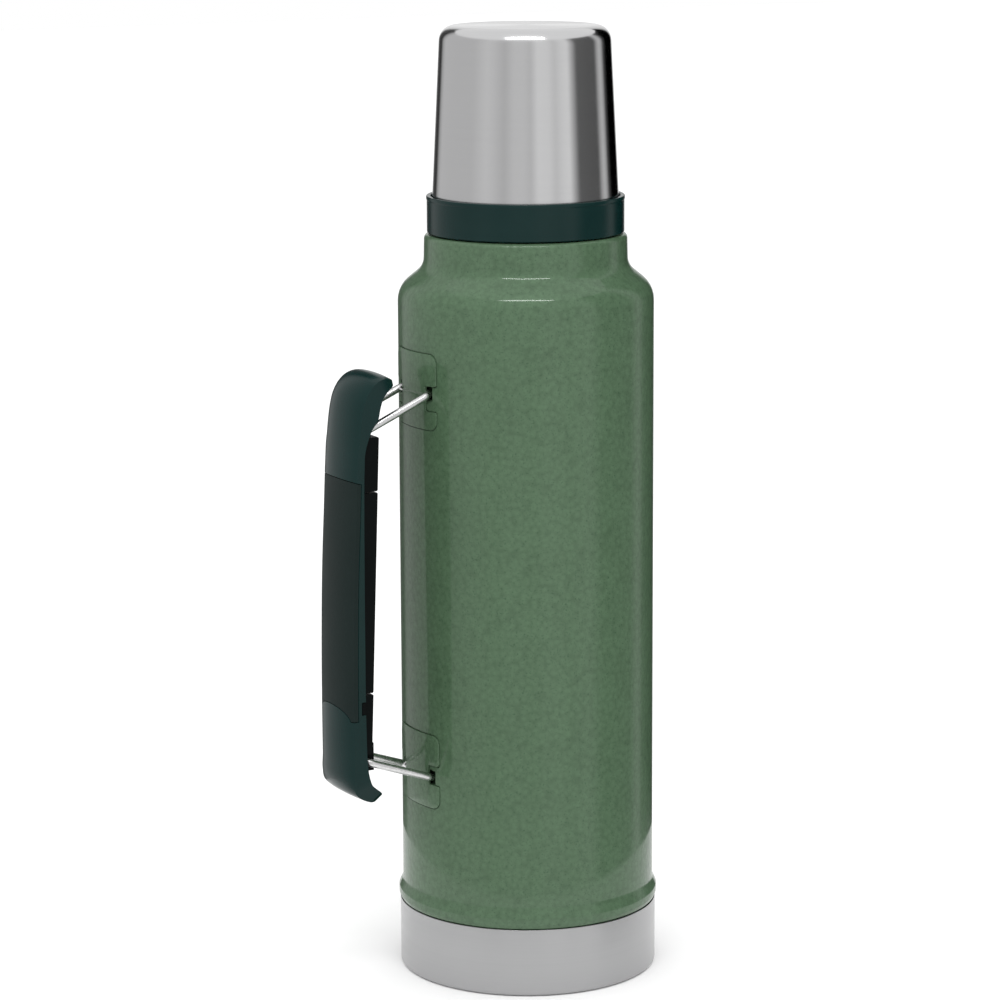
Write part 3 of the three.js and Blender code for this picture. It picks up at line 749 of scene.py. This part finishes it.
def make_vessel(steel):
    """The inner vessel, with a rolled mouth over the shell's neck and the stopper's thread."""
    lip = top_of("inner_vessel") / MM
    radius = radius_of("inner_vessel") / MM
    bottom = bottom_of("inner_vessel") / MM
    wall = VESSEL_WALL
    neck = BORE_RADIUS + wall
    vessel = turned("vessel", [
        (0, bottom, 0), (30, bottom + 1.6, 12), (radius, bottom + 4, 15), (radius, 268, 12),
        (neck, 286.5, 8), (neck, lip - 1.4, 0.8), (NECK_RADIUS + 0.2, lip - 1.4, 0.5),
        (NECK_RADIUS + 0.2, lip, 0.7), (BORE_RADIUS, lip, 0.9), (BORE_RADIUS, 286.0, 8.5),
        (radius - wall, 267.3, 12), (radius - wall, bottom + 4.7, 14.5), (30, bottom + 2.3, 12),
        (0, bottom + wall, 0),
    ], INSIDE_SIDES)
    ridge = thread(BORE_RADIUS + 1.0, BORE_RADIUS + 0.05, 300, 312, 0.75)
    mesh = joined("vessel", [vessel, ridge])
    add_piece("steel_vessel", mesh, steel, "root", "inner_steel", "inner_vessel")


def plate_punch(node, pivot, swing, grow):
    """A bracket plate's outline, with a notch for each leg, as a prism along X through the shell."""
    low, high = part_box(node)
    half_wide = high.y / MM + grow
    bottom, top = low.z / MM - grow, high.z / MM + grow
    z = pivot[2] / MM
    down, up = swing
    clear = 0.3 - grow
    notch = BAIL_HALF_WIDTH - WIRE_RADIUS - 0.5 + grow
    round_big = 3.6 + grow
    round_small = 1.0
    right = [
        (half_wide, top, round_big), (half_wide, z + up + clear, round_small),
        (notch, z + up + clear, round_small), (notch, z - down - clear, round_small),
        (half_wide, z - down - clear, round_small), (half_wide, bottom, round_big),
    ]
    left = [(-side, height, radius) for side, height, radius in reversed(right)]
    return through("punch", rounded(right + left), 60, 40)


def plate_recess(node, pivot, swing):
    """The shallow bed in the shell that a bracket plate lies in, a little wider than the plate."""
    low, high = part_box(node)
    bottom, top = low.z / MM - 2, high.z / MM + 2
    floor = BODY_RADIUS - PLATE_SUNK
    bed = turned("bed", [(floor, bottom, 0), (60, bottom, 0), (60, top, 0), (floor, top, 0)])
    return cut(bed, [plate_punch(node, pivot, swing, 0.35)], "INTERSECT")


def make_bracket(name, node, pivot, swing, paint):
    """A plate that follows the shell and lies in its bed, with a step over the bar."""
    low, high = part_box(node)
    bottom, top = low.z / MM - 2, high.z / MM + 2
    z = pivot[2] / MM
    inner = BODY_RADIUS - PLATE_SUNK + 0.05
    outer = BODY_RADIUS + PLATE_PROUD
    blank = turned("blank", [
        (inner, bottom, 0), (outer, bottom, 0), (outer, z - 0.9, 0.6),
        (outer + PLATE_STEP, z + 0.2, 0.6), (outer + PLATE_STEP, top, 0), (inner, top, 0),
    ])
    plate = cut(blank, [plate_punch(node, pivot, swing, 0)], "INTERSECT")
    soften(plate, 0.25)
    add_piece(name, plate, paint, "root", "hammered_paint", node)


# ---------- the handle ----------
LOWER_BAR = (-0.0779, 0, 0.0947)     # the middle of the lower bail's bar in the grip
BAIL_BEND = 3.2
BAIL_GAP = 0.4                       # half the gap between the wire's two ends


def make_bail(name, node, pivot, bar, steel):
    """One bent wire. Its bar at the body is butted together under the bracket."""
    start = Vector(pivot)
    along = Vector(bar) - start
    length = along.length
    along.normalize()
    wide = BAIL_HALF_WIDTH
    reach = length / MM
    corners = [
        (0, BAIL_GAP, 0), (0, wide, BAIL_BEND), (reach, wide, BAIL_BEND),
        (reach, -wide, BAIL_BEND), (0, -wide, BAIL_BEND), (0, -BAIL_GAP, 0),
    ]
    path = []
    for distance, side in rounded(corners, closed=False):
        path.append(start + along * distance * MM + Vector((0, side * MM, 0)))
    mesh = swept(name, path, WIRE_RADIUS * MM, 20)
    add_piece(name, mesh, steel, node, "wire_steel", node)


# Stations along the grip from its lower tip to its upper tip, in millimetres: the crown point and the
# finger-side point as [distance from the flask's axis, height], the half width, and how far the section
# falls from the crown to its creases.
GRIP_STATIONS = [
    ((72.9, 78.6), (71.5, 79.5), 10.6, 0.2),
    ((74.9, 78.2), (71.4, 80.7), 12.2, 0.3),
    ((81.2, 80.0), (74.2, 83.6), 13.6, 0.6),
    ((85.0, 82.6), (76.4, 85.6), 14.3, 1.3),
    ((86.8, 86.8), (77.6, 88.8), 14.5, 2.4),
    ((87.4, 94), (78.4, 94), 14.5, 3.3),
    ((87.5, 110), (78.9, 110), 14.5, 3.4),
    ((87.3, 140), (79.0, 140), 14.5, 3.4),
    ((86.5, 172), (78.9, 172), 14.5, 3.4),
    ((85.3, 196), (78.7, 196), 14.5, 3.4),
    ((84.3, 212), (78.4, 211), 14.5, 3.4),
    ((83.7, 221), (77.8, 218.5), 14.5, 3.4),
    ((83.0, 228.5), (75.2, 225.6), 14.5, 3.4),
    ((82.0, 234.5), (72.3, 230), 14.5, 3.4),
    ((80.3, 239.6), (71.3, 234), 14.4, 3.2),
    ((77.4, 243.6), (70.1, 237.6), 14.3, 2.8),
    ((73.4, 246.3), (68.4, 239.8), 14.0, 2.2),
    ((69.2, 247.0), (66.6, 241.1), 13.3, 1.6),
    ((66.2, 246.0), (65.0, 242.0), 12.2, 0.9),
    ((64.6, 244.7), (64.0, 242.6), 10.8, 0.3),
    ((63.9, 243.9), (63.75, 243.2), 9.6, 0.1),
]
SPAN_STEPS = 5                       # rows of the mesh between two stations
PAD_THICKNESS = 1.8
PAD_SEAM = 0.3
CHANNEL_HALF_WIDTH = 13.6
CHANNEL_ROOF = 3.8                   # from the crown down to the hollow's roof
CHANNEL_ENDS = (88.4, 237)
PAST_GRIP = 20                       # half the width of a prism that reaches past both of the grip's sides


def smooth_stations():
    """The stations with a smooth curve through them."""
    rows = np.array([[*crown, *inner, half, fall] for crown, inner, half, fall in GRIP_STATIONS], float)
    last = len(rows) - 1
    result = []
    for span in range(last):
        p0, p1, p2, p3 = (rows[min(max(span + k, 0), last)] for k in (-1, 0, 1, 2))
        d1 = np.linalg.norm(p1[:2] - p0[:2]) or 1
        d2 = np.linalg.norm(p2[:2] - p1[:2])
        d3 = np.linalg.norm(p3[:2] - p2[:2]) or 1
        m1 = ((p2 - p1) / d2 - (p2 - p0) / (d1 + d2) + (p1 - p0) / d1) * d2 if span else p2 - p1
        m2 = ((p2 - p1) / d2 - (p3 - p1) / (d2 + d3) + (p3 - p2) / d3) * d2 if span < last - 1 else p2 - p1
        for step in range(SPAN_STEPS):
            t = step / SPAN_STEPS
            t2, t3 = t * t, t ** 3
            row = (2 * t3 - 3 * t2 + 1) * p1 + (t3 - 2 * t2 + t) * m1
            row += (3 * t2 - 2 * t3) * p2 + (t3 - t2) * m2
            result.append(row)
    result.append(rows[-1])
    return result


def grip_section(depth, half, lower, fall, extend):
    """A D-shaped section as (depth below the crown, side) points."""
    arc_steps = 28
    edge = 0.9
    points = []

    def arc_depth(side):
        return 1 - math.sqrt(1 - (edge * side) ** 2)

    for step in range(arc_steps + 1):
        side = -1 + 2 * step / arc_steps
        drop = min(fall, depth * 0.5) * arc_depth(side) / arc_depth(1)
        points.append((lower + drop, half * side))
    side_steps = 5
    taper = 0.2
    start = points[-1][0]
    right = []
    for step in range(1, side_steps + 1):
        share = step / side_steps
        right.append((start + (depth + extend - start) * share, half - taper * share))
    points += right
    points += [(below, -side) for below, side in reversed(right)]
    return points


def grip_loft(name, lower=0.0, fall=None, extend=0.0, widen=0.0, first=0, last=None):
    """The grip's body, with its crown lowered, its finger side moved out, more width, or its own fall."""
    stations = smooth_stations()
    end = len(stations) if last is None else last * SPAN_STEPS + 1
    stations = stations[first * SPAN_STEPS:end]
    vertices = []
    faces = []
    for crown_u, crown_z, inner_u, inner_z, half, own_fall in stations:
        depth = math.hypot(inner_u - crown_u, inner_z - crown_z)
        step_u = (inner_u - crown_u) / depth
        step_z = (inner_z - crown_z) / depth
        section = grip_section(depth, half + widen, lower, own_fall if fall is None else fall, extend)
        count = len(section)
        for below, side in section:
            vertices.append((-(crown_u + step_u * below) * MM, side * MM, (crown_z + step_z * below) * MM))
    for row in range(len(stations) - 1):
        for index in range(count):
            a = row * count + index
            b = row * count + (index + 1) % count
            faces.append((a, b, b + count, a + count))
    top = (len(stations) - 1) * count
    faces.append(tuple(range(count)))
    faces.append(tuple(range(top, top + count)))
    return mesh_from(name, vertices, faces)


def pad_slab(grow):
    """The part of the grip that the soft pad takes: its upper seam slants, its lower seam is an arch."""
    slab = across("pad_slab", [
        (70, 112 - grow, 0), (95, 112 - grow, 0), (95, 209.4 + grow, 0), (70, 202.6 + grow, 0),
    ], PAST_GRIP)
    foot, springing = 106, 111
    rise = 6.2 - grow
    span = 13.2 - grow
    outline = [(span, foot)]
    steps = 24
    for step in range(steps + 1):
        t = step / steps
        side = span * ((1 - t) ** 3 + 3 * (1 - t) ** 2 * t - 3 * (1 - t) * t * t - t ** 3)
        outline.append((side, springing + 4 * rise * t * (1 - t)))
    outline.append((-span, foot))
    return cut(slab, [through("arch", outline, 68, 98)])


def block(low, high):
    """The corners of an upright block round the grip and its finger side, between two heights."""
    return [(50, low, 0), (90, low, 0), (90, high, 0), (50, high, 0)]


def below_pad(name, depth):
    """The grip under the pad. It is a little wider, so that no face of it lies in a face of the grip."""
    return grip_loft(name, lower=depth, extend=1, widen=0.1, first=3, last=15)


def grip_channel():
    """The hollow on the finger side, with a roof that falls more to the sides under the pad."""
    under_pad = grip_loft("channel", CHANNEL_ROOF, fall=2.2, extend=13, widen=0.2, first=4, last=14)
    at_bars = grip_loft("channel", CHANNEL_ROOF, fall=1, extend=12, first=3, last=15)
    pad_zone = across("pad_zone", block(108, 208), PAST_GRIP)
    reach = across("reach", block(*CHANNEL_ENDS), CHANNEL_HALF_WIDTH)
    channel = cut(under_pad, [cut(at_bars, [pad_zone])], "UNION")
    return cut(channel, [reach], "INTERSECT")


def make_grip(hard, soft):
    """The hollow moulded grip, with its side notch, and the soft panel that lies in its crown."""
    recess = cut(pad_slab(PAD_SEAM), [below_pad("under_pad", PAD_THICKNESS + PAD_SEAM)])
    notch_depth = 80.8
    notch = across("notch", [
        (70, 114.2, 0), (notch_depth, 114.2, 0.4), (notch_depth, 119.4, 0.4), (70, 119.4, 0),
    ], PAST_GRIP)
    shell = cut(grip_loft("grip_outside"), [recess, grip_channel(), notch])
    add_piece("moulded_grip", shell, hard, "grip", "dark_plastic", "grip_shell")
    pad = cut(grip_loft("pad_outside"), [pad_slab(0)], "INTERSECT")
    pad = cut(pad, [below_pad("pad_under", PAD_THICKNESS)])
    add_piece("soft_panel", pad, soft, "grip", "soft_plastic", "grip_pad")


# ---------- the cup ----------
CUP_WALL = 0.7
LINER_WALL = 0.6
COLLAR_RADIUS = 38.8
COLLAR_TOP = 311.5                   # the collar's visible upper edge


def make_cup(steel, liner_steel, plastic):
    top = top_of("cup_outer") / MM
    rim_z = bottom_of("cup_outer") / MM
    rim = radius_of("cup_outer") / MM
    corner = 33.35
    rounding = 6.0
    inside_top = top - CUP_WALL
    outer = turned("cup", [
        (0, top, 0), (corner, top, rounding), (rim, rim_z, 0.2), (rim - CUP_WALL, rim_z, 0.2),
        (corner - CUP_WALL, inside_top, rounding - CUP_WALL), (0, inside_top, 0),
    ])
    add_piece("steel_cup", outer, steel, "cup", "brushed_steel", "cup_outer")
    liner_top = top_of("cup_inner") / MM
    liner_z = bottom_of("cup_inner") / MM
    liner_inside = liner_top - LINER_WALL
    liner = turned("liner", [
        (0, liner_top, 0), (31.7, liner_top, 7), (34.6, liner_z, 0.2), (34.6 - LINER_WALL, liner_z, 0.2),
        (31.7 - LINER_WALL, liner_inside, 7 - LINER_WALL), (0, liner_inside, 0),
    ], INSIDE_SIDES)
    add_piece("cup_liner", liner, liner_steel, "cup", "inner_steel", "cup_inner")
    low = bottom_of("cup_collar") / MM
    high = top_of("cup_collar") / MM
    radius = COLLAR_RADIUS
    edge = COLLAR_TOP
    gap = 0.3                        # round the cup's rim, which stands in the collar
    skirt = 36.5
    bore = 34.2
    ring = turned("collar", [
        (skirt, low, 0.3), (radius, low, 0.6), (radius, edge - 1.8, 0.3),
        (radius + 0.2, edge - 1.3, 0.3), (radius + 0.2, edge, 0.5), (rim + gap, edge, 0.3),
        (rim + gap, rim_z - gap, 0.2), (rim - 1.7, rim_z - gap, 0.2), (rim - 1.7, high, 0.2),
        (bore, high, 0.3), (bore, 300.2, 0.2), (skirt, 300.2, 0.2),
    ])
    ridge = thread(bore + 1.0, bore, 302.5, 315, 1.05)
    mesh = joined("collar", [ring, ridge])
    add_piece("threaded_collar", mesh, plastic, "cup", "dark_plastic", "cup_collar")


def washer(name, rubber, body, node, bore, bore_rounding):
    """A flat ring with rounded edges, as wide and thick as its CAD node."""
    low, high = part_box(node)
    radius, bottom, top = high.x / MM, low.z / MM, high.z / MM
    mesh = turned(name, [
        (bore, bottom, bore_rounding), (radius, bottom, 0.5), (radius, top, 0.5), (bore, top, bore_rounding),
    ], INSIDE_SIDES)
    add_piece(name, mesh, rubber, body, "silicone", node)


def make_seals(rubber):
    washer("cup_washer", rubber, "cup_seal", "cup_seal", 33.4, 0.5)
    washer("stopper_washer", rubber, "stopper_seal", "stopper_gasket", 24.3, 0.4)
    low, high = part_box("stopper_ring")
    middle = (low.z + high.z) / 2 / MM
    bottom, top = middle - 1.1, middle + 1.1
    bore, radius = 22.5, 24.85
    mesh = turned("plug_ring", [
        (bore, bottom, 0.9), (radius, bottom, 1.0), (radius, top, 1.0), (bore, top, 0.9),
    ], INSIDE_SIDES)
    add_piece("plug_ring", mesh, rubber, "stopper", "silicone", "stopper_ring")


# ---------- the stopper ----------
PLUG_RADIUS = 24
SLOT_COUNT = 3                       # pouring slots across the stopper's thread
SLOT_SIZE = (3, 7, 18)
SLOT_HEIGHT = 305


def pouring_slot(index):
    """A box that crosses the plug's wall, turned round the axis to its own place."""
    deep, wide, tall = SLOT_SIZE
    a = 2 * math.pi * index / SLOT_COUNT
    work = bmesh.new()
    bmesh.ops.create_cube(work, size=1)
    for vertex in work.verts:
        x = vertex.co.x * deep + PLUG_RADIUS + 0.6
        y = vertex.co.y * wide
        vertex.co = (
            (x * math.cos(a) - y * math.sin(a)) * MM,
            (x * math.sin(a) + y * math.cos(a)) * MM,
            (SLOT_HEIGHT + vertex.co.z * tall) * MM,
        )
    slot = bpy.data.meshes.new("slot")
    work.to_mesh(slot)
    work.free()
    return slot


def make_stopper(plastic):
    low = bottom_of("stopper_body") / MM
    high = top_of("stopper_body") / MM
    flange = high - 2.7
    plug = PLUG_RADIUS
    ring_z = low + 3.1               # the middle of the ring's groove
    hollow = low + 6.4
    body = turned("plug", [
        (0, low, 0), (plug, low, 1.3), (plug, ring_z - 1.5, 0.2), (22.1, ring_z - 1.5, 0.2),
        (22.1, ring_z + 1.5, 0.2), (plug, ring_z + 1.5, 0.2), (plug, flange, 0.3),
        (31, flange, 0.7), (31, high, 0.9), (21.6, high, 0.3), (21.6, hollow, 0.5), (0, hollow, 0),
    ], INSIDE_SIDES)
    ridge = thread(PLUG_RADIUS - 1.0, PLUG_RADIUS - 0.05, 299, 311, 0.95)
    slots = [pouring_slot(index) for index in range(SLOT_COUNT)]
    mesh = joined("plug", [cut(body, slots), cut(ridge, slots)])
    add_piece("threaded_plug", mesh, plastic, "stopper", "dark_plastic", "stopper_body")


KNOB_RADIUS = 21.3
FLUTES = 12
FLUTE_DEPTH = 0.85


def make_knob(plastic):
    """A low fluted knob with a rounded rim and a shallow dish in its top."""
    low = bottom_of("stopper_cap") / MM
    high = top_of("stopper_cap") / MM
    profile = rounded([(0, low, 0), (1, low, 0.12), (1, high, 0.12), (0.80, high, 0.04),
                       (0.74, high - 0.9, 0.04), (0, high - 0.9, 0)])
    sides = 240
    vertices = []
    for side in range(sides):
        a = 2 * math.pi * side / sides
        wave = KNOB_RADIUS + FLUTE_DEPTH * math.cos(FLUTES * a)
        for share, z in profile:
            radius = share * (wave if share > 0.82 else KNOB_RADIUS) * MM
            vertices.append((radius * math.cos(a), radius * math.sin(a), z * MM))
    mesh = mesh_from("knob", vertices, turned_faces(sides, profile), 40)
    add_piece("fluted_knob", mesh, plastic, "stopper", "dark_plastic", "stopper_cap")


def dress(node, material):
    """Gives a CAD node that stays in view a material."""
    for slot in frame["nodes"][node].material_slots:
        slot.material = material


# ---------- everything together ----------
def main():
    bpy.context.scene.view_settings.view_transform = "Standard"
    make_camera()
    make_world()
    make_stage()
    make_cards()
    softbox("front_top", CAMERA_AZIMUTH, elevation=58, distance=1.6, width=1.1, height=0.1, power=6.5)
    sky_light(1.7)
    paint = hammered_paint()
    brushed = turned_steel("brushed_steel", (0.62, 0.62, 0.625), roughness=0.16, depth=0.1, anisotropy=0.8)
    dull = turned_steel("base_steel", (0.42, 0.42, 0.425), roughness=0.3, depth=0.1, anisotropy=0.6)
    plain = turned_steel("inner_steel", (0.60, 0.60, 0.61), roughness=0.26, depth=0.12, anisotropy=0.3)
    wire = wire_steel()
    hard = moulded_plastic(
        "dark_plastic", (0.0015, 0.0148, 0.0138), roughness=0.22, grain=0.1, grain_size=0.0006, gloss=0.2,
    )
    soft = moulded_plastic(
        "soft_plastic", (0.006, 0.0125, 0.0115), roughness=0.5, grain=0.35, grain_size=0.0005, gloss=0.12,
    )
    black = moulded_plastic(
        "black_plastic", (0.001, 0.002, 0.002), roughness=0.42, grain=0.2, grain_size=0.0006, gloss=0.06,
    )
    rubber = silicone()
    upper = joint("handle_swing")["pos_m"]
    lower = joint("lower_bail_swing")["pos_m"]
    make_shell(paint)
    make_base(dull)
    make_vessel(plain)
    make_bracket("upper_plate", "upper_bracket", upper, UPPER_SWING, paint)
    make_bracket("lower_plate", "lower_bracket", lower, LOWER_SWING, paint)
    make_bail("upper_wire", "upper_bail", upper, joint("grip_turn")["pos_m"], wire)
    make_bail("lower_wire", "lower_bail", lower, LOWER_BAR, wire)
    make_grip(hard, soft)
    make_cup(brushed, plain, hard)
    make_seals(rubber)
    make_stopper(hard)
    make_knob(hard)
    for node in ("grip_inner_cover", "upper_bail_clip", "lower_bail_clip"):
        dress(node, black)
    for node in ("shell_bottom", "vacuum_seal", "getter"):
        dress(node, plain)
    dress("heat_shield", crinkled_foil())
    dress("stopper_foam", rigid_foam())


main()
